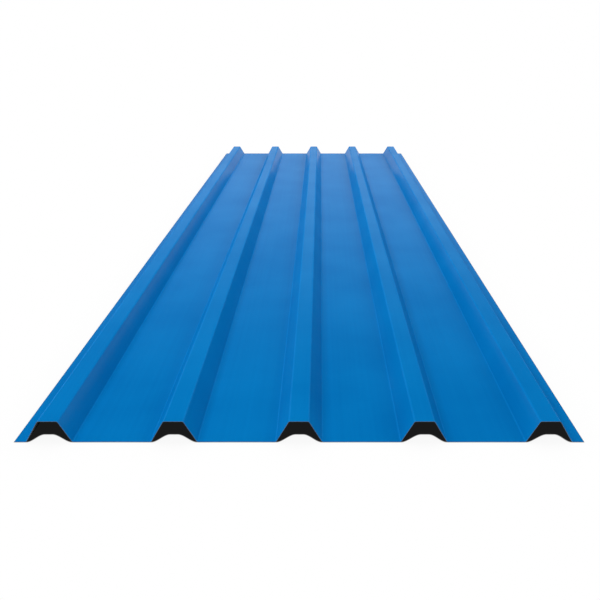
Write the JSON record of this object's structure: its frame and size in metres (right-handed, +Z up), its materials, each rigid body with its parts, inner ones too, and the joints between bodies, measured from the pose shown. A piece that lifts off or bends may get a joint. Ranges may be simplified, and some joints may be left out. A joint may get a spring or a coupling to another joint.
{
  "type": "corrugated metal sheet",
  "caption": "Roll-formed steel roofing and cladding sheet with trapezoidal ribs, flat pans and a narrow flat lip on each long edge, painted blue.",
  "frame": {"origin": "below the middle of the sheet, in the plane of the pans' underside", "axes": "+Y along the ribs and the sheet's length, +X across the ribs, +Z up through the rib crowns"},
  "size_m": [0.866, 3, 0.035],
  "materials": {
    "coated_steel": "gloss"
  },
  "bodies": {
    "root": {"sheet": "coated_steel"}
  },
  "joints": []
}
